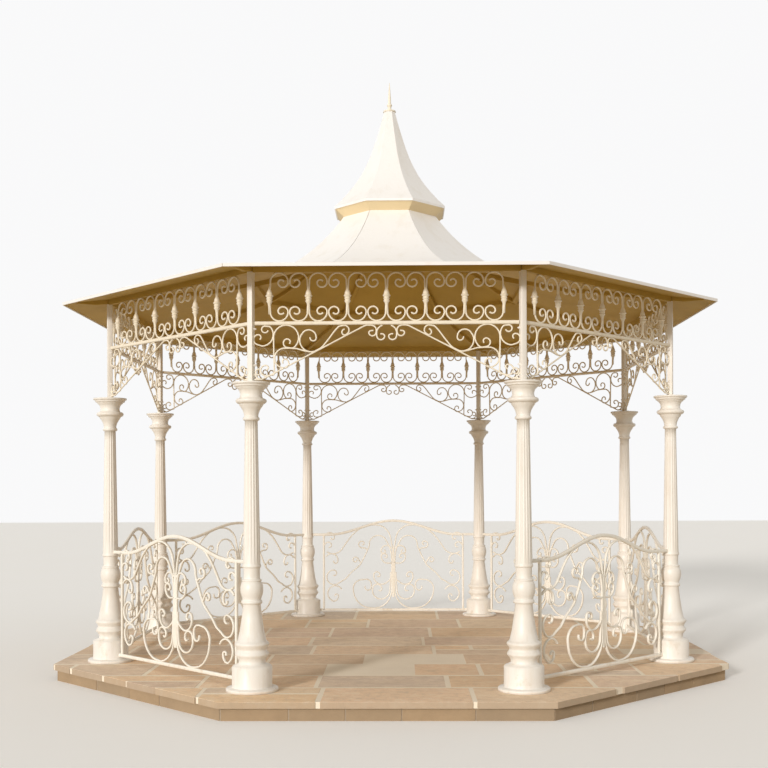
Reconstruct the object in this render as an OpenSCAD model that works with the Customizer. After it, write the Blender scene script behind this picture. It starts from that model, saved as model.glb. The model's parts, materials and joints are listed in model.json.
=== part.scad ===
// Octagonal bandstand: eight cast columns on a stone deck carry a bell-shaped sheet roof,
// with wrought scroll friezes, brackets and railings in the bays.
// The front bay faces -Y and has no railing. Millimetres, +Z up, origin at the middle of the foot.

/* [Plan] */
// Distance from the centre to each column's axis
column_ring_r = 2435; // [2300:5:2600]
// Distance from the centre to each corner of the stone deck
deck_r = 2890; // [2800:10:3100]
// Distance from the centre to each corner of the eave
eave_r = 2797; // [2700:1:2900]

/* [Heights above the deck] */
// Top of the columns' capitals
capital_top = 2114; // [2050:1:2200]
// Underside of the frieze's bottom rail
rail_z = 2507; // [2450:1:2550]
// Underside of the ring beam that carries the roof
beam_z = 2867; // [2867:1:2880]
// Top of the railing at its ends
railing_end_z = 880; // [860:5:900]
// Rise of the railing's top rail from its ends to its middle
railing_rise = 150; // [120:5:180]

/* [Stonework] */
// Height of the stone riser
riser_h = 85; // [60:5:150]
// Thickness of the flagstones
flag_t = 45; // [30:5:60]
// How far the flagstones overhang the riser
flag_overhang = 30; // [10:5:60]

/* [Ironwork] */
// Side of the square corner posts
post_w = 40; // [36:1:56]
// Height of the frieze's bottom rail
rail_h = 24; // [20:1:30]
// Thickness of the frieze's rails, front to back
rail_t = 24; // [16:1:30]
// Thickness of the scrolled bars, front to back
bar_t = 12; // [8:1:14]
// Width of the frieze's scrolled bars
frieze_bar_w = 11; // [8:1:13]
// Width of the brackets' scrolled bars
bracket_bar_w = 10; // [8:1:12]
// Width of the railings' scrolled bars
railing_bar_w = 14; // [8:1:14]
// Spacing of the spears along a frieze
spear_pitch = 268; // [264:1:272]

/* [Roof] */
// Thickness of the roof sheets
sheet_t = 10; // [6:1:12]
// Width of the hip ribs under the roof
rib_w = 30; // [20:2:40]
// Depth of the hip ribs under the roof
rib_h = 34; // [25:1:36]
// Gap between two roof sheets at a hip
seam = 4; // [2:1:6]
// Height of the fascia at the eave
fascia_h = 20; // [16:1:40]
// Thickness of the fascia
fascia_t = 6; // [4:1:8]

/* [Hidden] */

half_bay = 22.5;
// Most that a bent bar turns at one of its points
arc_step = 50;
bays = 8;
deck_z = riser_h + flag_t;
bay_apothem = column_ring_r * cos(half_bay);
bay_half = column_ring_r * sin(half_bay);
cream = [0.93, 0.89, 0.80];
stone = [0.66, 0.58, 0.50];

// Roof lines from the eave inwards, as [distance from the centre at the hips, height above the deck]
roof_edge_z = 2865;
bell_foot_r = 1250;
bell_foot_z = 3135;
bell_arc_r = 1746;
bell_arc_c = [1847, 4776];
lower_line = [[eave_r, roof_edge_z], [2000, 2985], [1600, 3048], [bell_foot_r, bell_foot_z]];
bell_line = arc(bell_arc_c, bell_arc_r, bell_arc_r, 250, 216, 6);

soffit = bell_line[len(bell_line) - 1];
cupola_r = 518;
cupola_z = 3812;
cupola_lip = 20;
spire_line = [[cupola_r, cupola_z + cupola_lip], [448, 3898], [380, 3976], [322, 4048], [272, 4122],
    [228, 4200], [188, 4286], [152, 4380], [120, 4476], [88, 4580], [50, 4713]];

// Column profile from the foot up to the shaft, as [radius, height above the deck]
drum_r = 138;
shaft_foot_r = 60;
shaft_head_r = 44;
shaft_z0 = 865;
shaft_z1 = 1852;
flutes = 16;
flute_d = 5;
foot_profile = [[0, 0], [180, 0], [180, 18], [174, 24], [drum_r, 26],
    [drum_r, 165], [128, 176], [94, 190], [92, 214],
    [108, 238], [117, 252], [108, 268], [98, 284], [108, 306], [119, 322], [108, 338], [100, 342],
    [84, 410], [70, 500], [60, 590], [70, 600], [72, 616], [66, 634], [76, 668], [79, 700], [74, 732],
    [64, 748], [68, 752], [68, 762], [56, 768], [57, 842], [64, 848], [64, 860], [60, 868], [0, 868]];
head_profile = [[0, 1850], [46, 1850], [57, 1858], [57, 1870], [48, 1878], [56, 1916], [80, 1954], [84, 1966],
    [100, 1972], [107, 1986], [100, 2000], [80, 2010], [75, 2032], [80, 2052], [100, 2074],
    [114, 2086], [117, 2096], [131, 2102], [131, capital_top], [0, capital_top]];

// The points of a bar that winds about c from radius r0 at angle a0 to radius r1 at angle a1
function arc(c, r0, r1, a0, a1, step = arc_step) =
    let (n = max(2, ceil(abs(a1 - a0) / step)))
    [for (i = [0 : n]) let (t = i / n, a = a0 + (a1 - a0) * t) c + (r0 + (r1 - r0) * t) * [cos(a), sin(a)]];

// The outline of a flat bar of width w along a path
function unit(v) = v / norm(v);
function ribbon(path, w) =
    let (n = len(path), d = [for (i = [0 : n - 1]) unit(path[min(i + 1, n - 1)] - path[max(i - 1, 0)])])
    concat([for (i = [0 : n - 1]) path[i] + w / 2 * [-d[i][1], d[i][0]]],
        [for (i = [n - 1 : -1 : 0]) path[i] - w / 2 * [-d[i][1], d[i][0]]]);

// Turns the front bay's work to bay k, and raises it onto the deck
module bay(k) {
    rotate([0, 0, 45 * (k - 1)]) translate([0, 0, deck_z]) children();
}

// Stands a flat drawing up in the plane of the front bay
module upright(t) {
    translate([0, -bay_apothem, 0]) rotate([90, 0, 0]) linear_extrude(t, center = true) children();
}

// Corner k is the right-hand end of bay k
module corner(k) {
    rotate([0, 0, 45 * (k - 1) - 90 + half_bay]) translate([column_ring_r, 0, deck_z]) children();
}

module prism(r, h) {
    rotate([0, 0, half_bay]) cylinder(r = r, h = h, $fn = bays);
}

module plinth_riser() {
    color(stone) prism(deck_r - flag_overhang / cos(half_bay), riser_h);
}

module flagstone_deck() {
    color(stone) translate([0, 0, riser_h]) prism(deck_r, flag_t);
}

// Outline of the fluted shaft: a sharp ridge and a flat bottom for each flute
function flute_ring(r) = [for (i = [0 : 3 * flutes - 1])
    let (deep = i % 3 == 0 ? 0 : flute_d, a = 120 * i / flutes)
    (r - deep) * [cos(a), sin(a)]];

module column(k) {
    color(cream) corner(k) {
        rotate_extrude($fn = 48) polygon(foot_profile);
        translate([0, 0, shaft_z0]) linear_extrude(shaft_z1 - shaft_z0, scale = shaft_head_r / shaft_foot_r)
            polygon(flute_ring(shaft_foot_r));
        rotate_extrude($fn = 48) polygon(head_profile);
    }
}

post_top = roof_z((column_ring_r + post_w / 2 + 7) * cos(half_bay)) - sheet_t - rib_h;

module post_box() {
    translate([-post_w / 2, -post_w / 2, capital_top]) cube([post_w, post_w, post_top - capital_top]);
}

module corner_posts() {
    color(cream) for (k = [1 : bays]) corner(k) post_box();
}

// The two posts at the ends of the front bay, to cut the bay's bars to length
module end_posts() {
    for (k = [bays, 1]) translate([0, 0, -deck_z]) corner(k) translate([0, 0, -100]) scale([1, 1, 1.1])
        post_box();
}

// Scroll that leaves a spear's stem, rolls along the rail and curls up inside itself
scroll_r = 62;
scroll_path = concat([[5, 112]], arc([5 + scroll_r, scroll_r], scroll_r, scroll_r, 180, 360),
    arc([90, 64], 39, 32, 25, 180, 54), arc([84, 70], 26, 20, 205, 320, 58));

// Spear: stem, three cups and a point, as [radius, height above the rail]
spear_profile = [[0, 58], [8, 58], [9, 104], [13, 124], [21, 138], [17, 147], [23, 155], [18, 163],
    [27, 176], [19, 194], [15, 209], [7, 228], [2, 246], [0, 246]];
spears = 7;
function spear_x(i) = (i - (spears - 1) / 2) * spear_pitch;

module scroll_row() {
    for (i = [0 : spears - 2]) {
        translate([spear_x(i), 0]) polygon(ribbon(scroll_path, frieze_bar_w));
        translate([spear_x(i + 1), 0]) mirror([1, 0]) polygon(ribbon(scroll_path, frieze_bar_w));
    }
}

module frieze_panel() {
    rail_top = rail_z + rail_h;
    difference() {
        translate([0, 0, rail_z]) upright(rail_t) translate([-bay_half, 0]) square([2 * bay_half, rail_h]);
        end_posts();
    }
    upright(bar_t) {
        translate([0, rail_top + 2]) scroll_row();
        translate([0, beam_z - 2]) mirror([0, 1]) scroll_row();
    }
    for (i = [0 : spears - 1])
        translate([spear_x(i), -bay_apothem, rail_top]) rotate_extrude($fn = 24) polygon(spear_profile);
}

module frieze(k) {
    color(cream) bay(k) frieze_panel();
}

// Bracket at the left post: x runs from the post's axis, y is the height above the deck
bracket_bars = [
    // diagonal that ends in a curl by the middle of the rail
    concat([[12, 2133], [75, 2133], [790, 2504], [825, 2504]], arc([830, 2466], 36, 32, 75, 0),
        arc([834, 2455], 27, 27, -20, -175), [[814, 2465], [840, 2466]]),
    // scroll in the corner of the rail and the post
    concat(arc([97, 2477], 24, 25, -20, -255), arc([75, 2441], 80, 79, 45, -90),
        arc([52, 2409], 37, 33, -115, -270), arc([53, 2422], 20, 17, -285, -420)),
    // upright from the diagonal that rolls over under the rail
    concat([[160, 2172], [157, 2330]], arc([242, 2420], 87, 87, 185, -58),
        arc([254, 2387], 37, 15, -112, -400)),
    // scroll that springs from the diagonal back up to the rail and curls below it
    concat(arc([428, 2418], 23, 23, 170, 350), arc([402, 2419], 49, 58, 385, 495),
        arc([414, 2401], 79, 80, 515, 655), [[485, 2350], [515, 2384], [580, 2472], [602, 2496]],
        arc([642, 2467], 37, 31, 105, -60), arc([645, 2456], 23, 21, -90, -265)),
    // scroll on the diagonal, under the upright's roll
    concat([[430, 2319], [385, 2323], [345, 2339], [300, 2347]], arc([230, 2277], 72, 66, 80, 270),
        arc([231, 2249], 38, 28, 285, 370), arc([232, 2252], 25, 15, 400, 580)),
    // scrolls at the foot
    concat([[158, 2168]], arc([102, 2198], 42, 34, -70, -270), arc([104, 2212], 19, 14, -300, -450)),
    arc([51, 2181], 28, 15, 50, 320),
    [[75, 2134], [45, 2140], [14, 2180]],
    // half of the drop at the middle of the rail
    concat(arc([917, 2447], 57, 55, 105, 185), arc([893, 2431], 31, 28, 205, 340),
        [[918, 2436], [904, 2444], [888, 2443]])
];

module bracket_pair() {
    difference() {
        upright(bar_t) for (side = [0, 1]) mirror([side, 0]) translate([-bay_half, 0])
            for (bar = bracket_bars) polygon(ribbon(bar, bracket_bar_w));
        end_posts();
    }
}

module brackets(k) {
    color(cream) bay(k) bracket_pair();
}

// Railing
railing_end_x = 755;
railing_foot_z = 50;
railing_bar_h = 26;
railing_t = 20;
hump_n = 20;
function hump(x) = railing_end_z + railing_rise * (0.5 + 0.5 * cos(180 * min(1, abs(x) / 700)));
function hump_line() = [for (i = [0 : hump_n])
    let (x = (2 * i / hump_n - 1) * (bay_half - shaft_foot_r)) [x, hump(x)]];

// Bars of the railing's right half
railing_bars = [
    // arch from the middle stem under the top rail to the end bar
    concat([[5, 200], [5, 720]], arc([185, 805], 160, 180, 175, 95), arc([114, 559], 459, 459, 68, 32),
        arc([655, 792], 121, 121, 218, 305)),
    // inner arch that runs on down to the end bar and curls
    concat([[17, 430], [17, 650], [32, 730]], arc([165, 772], 99, 97, 160, -10),
        [[290, 690], [325, 615], [362, 548], [415, 503], [470, 458], [518, 398]],
        arc([645, 418], 84, 78, 220, 445), arc([647, 457], 37, 22, 100, 290)),
    // bottom loop
    concat([[16, 420]], arc([224, 268], 210, 190, 170, 270), arc([226, 268], 192, 208, 290, 350),
        arc([334, 288], 106, 104, 5, 85), arc([296, 335], 60, 58, 95, 190),
        arc([279, 311], 40, 30, 210, 380)),
    // loop inside it
    concat([[29, 470], [30, 360]], arc([138, 272], 100, 90, 170, 365), arc([172, 288], 56, 46, 20, 190),
        arc([148, 284], 22, 14, 210, 330)),
    // scrolls up the stem
    concat([[10, 440], [40, 382]], arc([128, 424], 86, 86, 235, 370), arc([178, 438], 38, 34, 30, 180),
        arc([164, 436], 20, 12, 200, 330)),
    concat([[8, 572]], arc([60, 640], 74, 72, 255, 350), arc([98, 640], 36, 32, 10, 180),
        arc([84, 640], 18, 12, 200, 330)),
    // scrolls by the end bar
    concat(arc([665, 600], 80, 62, 30, 180), arc([633, 590], 30, 16, 190, 380)),
    concat(arc([630, 243], 80, 87, 150, -55), arc([650, 208], 53, 52, -75, -175),
        arc([622, 214], 26, 14, -200, -380))
];

module railing_panel() {
    foot_x = bay_half - drum_r;
    upright(railing_t) {
        polygon(ribbon(hump_line(), railing_bar_h));
        translate([-foot_x, railing_foot_z]) square([2 * foot_x, railing_bar_h]);
        for (side = [-1, 1]) translate([side * railing_end_x - railing_t / 2, railing_foot_z])
            square([railing_t, railing_end_z - railing_foot_z]);
    }
    upright(bar_t) for (side = [0, 1]) mirror([side, 0])
        for (bar = railing_bars) polygon(ribbon(bar, railing_bar_w));
}

module railing(k) {
    color(cream) bay(k) railing_panel();
}

// Height of the roof's upper surface over a point at distance a from the centre, square to the eave
function roof_z(a) = lookup(a / cos(half_bay), [for (p = [each lower_line, each bell_line]) p]);

// A roof line as the outline of a sheet, in [distance square to the eave, height]
function square_to_eave(line) = [for (p = line) [p[0] * cos(half_bay), p[1]]];
function drop(line, d) = [for (p = line) [p[0], p[1] - d]];
function flip(line) = [for (i = [len(line) - 1 : -1 : 0]) line[i]];

// Sweeps an outline along the front facet, and cuts it to a sector with a gap at each hip
module facet(outline, gap) {
    reach = 3000;
    intersection() {
        rotate([90, 0, -90]) linear_extrude(2 * reach, center = true) polygon(outline);
        linear_extrude(2 * reach) translate([0, -gap / sin(half_bay)])
            polygon([[0, 0], [-reach * tan(half_bay), -reach], [reach * tan(half_bay), -reach]]);
    }
}

module each_bay() {
    for (k = [1 : bays]) bay(k) children();
}

ring_beam_w = 36;

module ring_beam() {
    inner = bay_apothem - ring_beam_w / 2;
    outer = bay_apothem + ring_beam_w / 2;
    color(cream) each_bay() difference() {
        facet([[inner, beam_z], [outer, beam_z], [outer, roof_z(outer) - sheet_t],
            [inner, roof_z(inner) - sheet_t]], rib_w / 2);
        end_posts();
    }
}

// The edges of a rib touch the sheets on both sides of its hip
module hip_ribs() {
    line = [each lower_line, for (i = [1 : len(bell_line) - 1]) bell_line[i]];
    top = [for (p = line) p - [rib_w / 2 * tan(half_bay), sheet_t]];
    color(cream) for (k = [1 : bays]) corner(k) translate([-column_ring_r, 0, 0]) rotate([90, 0, 0])
        linear_extrude(rib_w, center = true) polygon(concat(top, flip(drop(top, rib_h))));
}

// The purlin lies under the lower sheets' upper edge
purlin_w = 40;
purlin_h = 40;

module purlin_ring() {
    inner = bell_foot_r * cos(half_bay) - 30;
    outer = inner + purlin_w;
    top = [[outer, roof_z(outer) - sheet_t], [inner, roof_z(inner) - sheet_t]];
    color(cream) each_bay() facet(concat(top, flip(drop(top, purlin_h))), rib_w / 2);
}

module lower_roof() {
    line = square_to_eave(lower_line);
    color(cream) each_bay() facet(concat(line, flip(drop(line, sheet_t))), seam / 2);
}

module fascia() {
    outer = eave_r * cos(half_bay);
    top = roof_edge_z + 2;
    bottom = roof_edge_z - fascia_h;
    color(cream) each_bay() facet([[outer, bottom], [outer + fascia_t, bottom], [outer + fascia_t, top],
        [outer, top]], seam / 2);
}

module bell_roof() {
    line = square_to_eave(bell_line);
    top = line[len(line) - 1];
    under = [for (i = [len(line) - 2 : -1 : 0]) line[i] - [0, sheet_t]];
    color(cream) each_bay() facet(concat(line, [top - [12, 0]], under), seam / 2);
}

module cupola() {
    color(cream) translate([0, 0, deck_z]) rotate([0, 0, half_bay])
        rotate_extrude($fn = bays) polygon(concat([[0, soffit[1]], soffit, [cupola_r, cupola_z]],
            spire_line, [[0, spire_line[len(spire_line) - 1][1]]]));
}

finial_profile = [[0, 0], [56, 0], [56, 10], [30, 14], [16, 44], [23, 60], [14, 76], [12, 130], [2, 262],
    [0, 262]];

module finial() {
    color(cream) translate([0, 0, deck_z + spire_line[len(spire_line) - 1][1]])
        rotate_extrude($fn = 32) polygon(finial_profile);
}

plinth_riser();
flagstone_deck();
column(1);  // column_1
column(2);  // column_2
column(3);  // column_3
column(4);  // column_4
column(5);  // column_5
column(6);  // column_6
column(7);  // column_7
column(8);  // column_8
corner_posts();
railing(2);  // railing_2
railing(3);  // railing_3
railing(4);  // railing_4
railing(5);  // railing_5
railing(6);  // railing_6
railing(7);  // railing_7
railing(8);  // railing_8
frieze(1);  // frieze_1
frieze(2);  // frieze_2
frieze(3);  // frieze_3
frieze(4);  // frieze_4
frieze(5);  // frieze_5
frieze(6);  // frieze_6
frieze(7);  // frieze_7
frieze(8);  // frieze_8
brackets(1);  // brackets_1
brackets(2);  // brackets_2
brackets(3);  // brackets_3
brackets(4);  // brackets_4
brackets(5);  // brackets_5
brackets(6);  // brackets_6
brackets(7);  // brackets_7
brackets(8);  // brackets_8
ring_beam();
hip_ribs();
purlin_ring();
lower_roof();
fascia();
bell_roof();
cupola();
finial();
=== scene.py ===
import json
import math
import random

import bpy
import bmesh
from mathutils import Matrix, Vector

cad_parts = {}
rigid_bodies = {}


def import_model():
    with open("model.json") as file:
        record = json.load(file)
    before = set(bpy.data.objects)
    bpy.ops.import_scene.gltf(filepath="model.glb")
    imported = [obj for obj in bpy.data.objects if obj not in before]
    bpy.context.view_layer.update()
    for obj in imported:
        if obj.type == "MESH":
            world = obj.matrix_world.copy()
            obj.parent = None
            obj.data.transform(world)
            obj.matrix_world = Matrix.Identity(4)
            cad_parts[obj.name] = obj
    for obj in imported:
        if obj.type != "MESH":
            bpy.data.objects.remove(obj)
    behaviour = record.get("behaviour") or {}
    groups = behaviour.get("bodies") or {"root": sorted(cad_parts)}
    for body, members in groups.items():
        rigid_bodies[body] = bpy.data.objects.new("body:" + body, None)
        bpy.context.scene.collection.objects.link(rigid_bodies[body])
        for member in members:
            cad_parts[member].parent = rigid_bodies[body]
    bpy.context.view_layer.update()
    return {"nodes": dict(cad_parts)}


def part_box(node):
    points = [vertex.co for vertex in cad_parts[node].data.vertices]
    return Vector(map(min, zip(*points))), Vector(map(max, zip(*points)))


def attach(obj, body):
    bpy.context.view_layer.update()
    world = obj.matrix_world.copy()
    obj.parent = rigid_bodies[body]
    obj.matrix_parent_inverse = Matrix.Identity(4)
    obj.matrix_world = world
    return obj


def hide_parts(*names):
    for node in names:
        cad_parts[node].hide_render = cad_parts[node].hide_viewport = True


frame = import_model()
cadNodes = frame["nodes"]

# Metres; heights are above the deck, the deck's own is above the ground
plan = {"bays": 8, "columnRing": 2.435, "deckHeight": 0.130, "railHeight": 2.507,
        "beamHeight": 2.867, "capitalTop": 2.114}
halfBay = math.pi / plan["bays"]
bayReach = plan["columnRing"] * math.cos(halfBay)
bayHalf = plan["columnRing"] * math.sin(halfBay)
cornerTurns = [-math.pi / 2 + halfBay + 2 * halfBay * k for k in range(plan["bays"])]


class Wire:
    # an output socket; sums on it become Math nodes
    def __init__(self, bench, socket):
        self.bench, self.socket = bench, socket

    def maths(self, operation, other):
        return self.bench.make("ShaderNodeMath", {"operation": operation}, {0: self, 1: other})

    def __add__(self, other):
        return self.maths("ADD", other)

    def __sub__(self, other):
        return self.maths("SUBTRACT", other)

    def __mul__(self, other):
        return self.maths("MULTIPLY", other)

    def __truediv__(self, other):
        return self.maths("DIVIDE", other)

    __radd__, __rmul__ = __add__, __mul__

    def __rsub__(self, other):
        return self.bench.make("ShaderNodeMath", {"operation": "SUBTRACT"}, {0: other, 1: self})

    def over(self, low, high):
        # 0 at low, 1 at high, held outside them
        return self.bench.make("ShaderNodeMapRange", {"clamp": True},
                               {"Value": self, "From Min": low, "From Max": high})


class Bench:
    # adds nodes to one tree
    def __init__(self, tree):
        self.tree = tree

    def make(self, kind, settings=None, sockets=None, result=0):
        node = self.tree.nodes.new(kind)
        for name, value in (settings or {}).items():
            if name == "stops":
                ramp = node.color_ramp
                while len(ramp.elements) < len(value):
                    ramp.elements.new(0.5)
                for element, (position, colour) in zip(ramp.elements, value):
                    element.position, element.color = position, (*colour, 1)
            else:
                setattr(node, name, value)
        for name, value in (sockets or {}).items():
            if isinstance(value, Wire):
                self.tree.links.new(value.socket, node.inputs[name])
            elif isinstance(value, tuple) and len(value) == 3 and node.inputs[name].type == "RGBA":
                node.inputs[name].default_value = (*value, 1)
            else:
                node.inputs[name].default_value = value
        return Wire(self, node.outputs[result]) if len(node.outputs) else node


class Finish(Bench):
    # a material: object coordinates in, one principled shader out
    def __init__(self, name, **fixed):
        self.material = bpy.data.materials.new(name)
        self.material.use_nodes = True
        super().__init__(self.material.node_tree)
        self.tree.nodes.clear()
        self.place = self.make("ShaderNodeTexCoord", result="Object")
        self.fixed = fixed

    def stretched(self, scale):
        return self.make("ShaderNodeMapping", {}, {"Vector": self.place, "Scale": scale})

    def noise(self, scale, detail=3.0, rough=0.55, where=None):
        return self.make("ShaderNodeTexNoise", {}, {"Vector": where or self.place, "Scale": scale,
                                                    "Detail": detail, "Roughness": rough})

    def mix(self, share, first, second):
        return self.make("ShaderNodeMix", {"data_type": "RGBA"}, {0: share, 6: first, 7: second}, 2)

    def height(self):
        return self.make("ShaderNodeSeparateXYZ", {}, {"Vector": self.place}, "Z")

    def ramp(self, value, stops):
        return self.make("ShaderNodeValToRGB", {"stops": stops}, {"Fac": value}, "Color")

    def own(self, name):
        return self.make("ShaderNodeAttribute", {"attribute_name": name}, {}, "Fac")

    def bump(self, height, distance, after=None):
        sockets = {"Height": height, "Distance": distance, "Strength": 1.0}
        if after:
            sockets["Normal"] = after
        return self.make("ShaderNodeBump", {}, sockets)

    def done(self, colour, **linked):
        linked = {name.replace("_", " "): value for name, value in linked.items()}
        sockets = {**self.fixed, "Base Color": colour, **linked}
        shader = self.make("ShaderNodeBsdfPrincipled", {}, sockets)
        self.make("ShaderNodeOutputMaterial", {}, {"Surface": shader})
        return self.material


def meshPiece(name, verts, faces, materials, indices=None, smooth=False, tones=None):
    mesh = bpy.data.meshes.new(name)
    mesh.from_pydata([tuple(v) for v in verts], [], faces)
    for material in materials:
        mesh.materials.append(material)
    if indices:
        mesh.polygons.foreach_set("material_index", indices)
    mesh.polygons.foreach_set("use_smooth", [smooth] * len(mesh.polygons))
    for attribute, values in (tones or {}).items():
        mesh.attributes.new(attribute, "FLOAT", "FACE").data.foreach_set("value", values)
    mesh.update()
    piece = bpy.data.objects.new(name, mesh)
    bpy.context.scene.collection.objects.link(piece)
    return piece


def smoothBy(piece, degrees=20):
    piece.data.polygons.foreach_set("use_smooth", [True] * len(piece.data.polygons))
    bm = bmesh.new()
    bm.from_mesh(piece.data)
    for edge in bm.edges:
        if len(edge.link_faces) == 2:
            edge.smooth = edge.calc_face_angle() < math.radians(degrees)
    bm.to_mesh(piece.data)
    bm.free()
    return piece


def place(piece, slot, *nodes):
    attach(piece, "root")
    if nodes:
        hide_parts(*nodes)
    return piece


def numbered(stem, first=1):
    return [f"{stem}_{k}" for k in range(first, plan["bays"] + 1)]


def polar(ring, angle, z=0.0):
    return Vector((ring * math.cos(angle), ring * math.sin(angle), z))


def sleeve(rows, n, start=0):
    # faces of stacked rings of n points: the sides row by row, then the foot and the head
    faces = []
    for row in range(rows - 1):
        for i in range(n):
            a, b = start + row * n + i, start + row * n + (i + 1) % n
            faces.append((a, b, b + n, a + n))
    head = start + (rows - 1) * n
    return faces + [tuple(reversed(range(start, start + n))), tuple(range(head, head + n))]


def creamPaint(name, colour, grime, coat=0.15, peel=0.0006):
    f = Finish(name, **{"Coat Weight": coat, "Coat Roughness": 0.35})
    broad, fine = f.noise(1.6, 4), f.noise(55, 4, 0.6)
    streaks = f.noise(3.2, 5, 0.62, f.stretched((6, 6, 0.8)))
    low = 1 - f.height().over(0.13, 0.62)  # splashed near the deck
    spots = f.noise(9, 5, 0.65).over(0.56, 0.72)
    share = streaks.over(0.50, 0.78) * 0.30 + low * spots * 0.55 + broad.over(0.45, 0.75) * 0.12
    painted = f.mix(fine.over(0.3, 0.7) * 0.25, colour, tuple(0.94 * c for c in colour))
    worn = f.mix(share.maths("MINIMUM", 1.0), painted, grime)
    rough = 0.36 + 0.18 * fine + 0.12 * share
    marks = f.bump(fine + 0.6 * f.noise(14, 3), peel)
    return f.done(worn, Roughness=rough, Normal=marks)


finishes = {
    "cast": creamPaint("creamCastPaint", (0.87, 0.832, 0.772), (0.60, 0.48, 0.33)),
    "wrought": creamPaint("creamWroughtPaint", (0.88, 0.81, 0.67), (0.62, 0.49, 0.31), peel=0.0004),
    "railing": creamPaint("creamRailingPaint", (0.90, 0.865, 0.785), (0.62, 0.50, 0.33),
                          peel=0.0004),
}


def roofPaint():
    f = Finish("creamRoofPaint", **{"Coat Weight": 0.1, "Coat Roughness": 0.4})
    fine = f.noise(38, 4)
    runs = f.noise(2.4, 6, 0.6, f.stretched((3.5, 3.5, 0.5)))
    colour = f.mix(f.noise(0.9, 5).over(0.35, 0.7) * 0.5, (0.90, 0.88, 0.86), (0.87, 0.85, 0.82))
    colour = f.mix(runs.over(0.52, 0.8) * 0.28, colour, (0.66, 0.58, 0.45))
    dents = f.bump(fine + f.noise(2.2, 2) * 3, 0.0012)
    return f.done(colour, Roughness=0.38 + 0.2 * fine, Normal=dents)


def soffitPaint(name, light, dark):
    # painted shade: cream paint given the darker golden tan it shows in the shade under the roof
    f = Finish(name, **{"Specular IOR Level": 0.25})
    fine = f.noise(30, 4)
    colour = f.mix(f.noise(1.8, 5).over(0.35, 0.7), light, dark)
    stains = f.noise(6, 5, 0.65).over(0.58, 0.78)
    colour = f.mix(stains * 0.35, colour, tuple(0.7 * c for c in dark))
    return f.done(colour, Roughness=0.5 + 0.2 * fine, Normal=f.bump(fine, 0.0008))


finishes["roof"] = roofPaint()
# the undersides' colours are painted shade, between a lighter and a darker golden tan
finishes["soffit"] = soffitPaint("soffitPaint", (0.545, 0.362, 0.078), (0.440, 0.286, 0.054))
# the cupola lip's underside: cream paint given a lighter painted shade than the soffit's
finishes["lip"] = soffitPaint("cupolaLipPaint", (0.84, 0.68, 0.42), (0.78, 0.62, 0.37))


def flagStone():
    f = Finish("sandstoneFlags")
    tone, hue = f.own("tone"), f.own("hue")
    base = f.ramp(hue, [(0.0, (0.96, 0.70, 0.45)), (0.2, (0.79, 0.60, 0.47)),
                        (0.45, (0.98, 0.75, 0.49)), (0.65, (0.74, 0.63, 0.53)),
                        (0.85, (0.96, 0.68, 0.45)), (1.0, (0.90, 0.64, 0.39))])
    bands = f.noise(3.2, 6, 0.6, f.stretched((0.6, 2.2, 1)))
    grit, mottle = f.noise(90, 4, 0.7), f.noise(13, 6, 0.7)
    colour = f.mix(bands.over(0.35, 0.7) * 0.35, base, (0.98, 0.77, 0.53))
    colour = f.mix(mottle.over(0.52, 0.64) * 0.40, colour, (0.60, 0.48, 0.36))
    colour = f.mix(mottle.over(0.50, 0.38) * 0.45, colour, (1.0, 0.86, 0.68))
    colour = f.mix(tone * 0.32, colour, (0.62, 0.48, 0.34))
    colour = f.mix(f.noise(1.7, 5, 0.65).over(0.5, 0.7) * 0.25, colour, (0.58, 0.46, 0.33))
    colour = f.mix(grit.over(0.5, 0.75) * 0.22, colour, (0.40, 0.33, 0.25))
    # painted shade: the stones' sides and chamfers are darkened by their edge share
    colour = f.mix(f.own("edge") * 0.75, colour, (0.40, 0.31, 0.22))
    relief = f.bump(f.noise(7, 6, 0.6), 0.006)
    return f.done(colour, Roughness=0.72 + 0.2 * grit, Normal=f.bump(grit, 0.0015, after=relief))


def mortar(name, light, dark):
    f = Finish(name, Roughness=0.9)
    grit, damp = f.noise(120, 3, 0.7), f.noise(1.3, 5, 0.6)
    colour = f.mix(grit, light, dark)
    colour = f.mix(damp.over(0.45, 0.7) * 0.3, colour, tuple(0.8 * c for c in dark))
    return f.done(colour, Normal=f.bump(grit, 0.002))


def riserStone():
    f = Finish("riserStone")
    grit = f.noise(60, 5, 0.7)
    colour = f.mix(f.noise(4, 6, 0.6).over(0.3, 0.7), (0.47, 0.335, 0.205), (0.38, 0.268, 0.162))
    colour = f.mix(f.own("tone") * 0.4, colour, (0.33, 0.27, 0.20))
    relief = f.bump(f.noise(12, 6, 0.6), 0.006)
    return f.done(colour, Roughness=0.8 + 0.15 * grit, Normal=f.bump(grit, 0.002, after=relief))


finishes["flags"] = flagStone()
finishes["mortar"] = mortar("paleMortar", (0.98, 0.90, 0.76), (0.92, 0.81, 0.65))
finishes["riser"] = riserStone()
finishes["riserMortar"] = mortar("greyMortar", (0.52, 0.43, 0.32), (0.42, 0.34, 0.25))
print("finishes ready")


def wind(centre, r0, r1, a0, a1, step=9):
    # points of a bar that winds about a centre from radius r0 at angle a0 to r1 at a1
    count = max(3, math.ceil(abs(a1 - a0) / step))
    points = []
    for i in range(count + 1):
        radius, angle = r0 + (r1 - r0) * i / count, math.radians(a0 + (a1 - a0) * i / count)
        points.append((centre[0] + radius * math.cos(angle), centre[1] + radius * math.sin(angle)))
    return points


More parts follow.
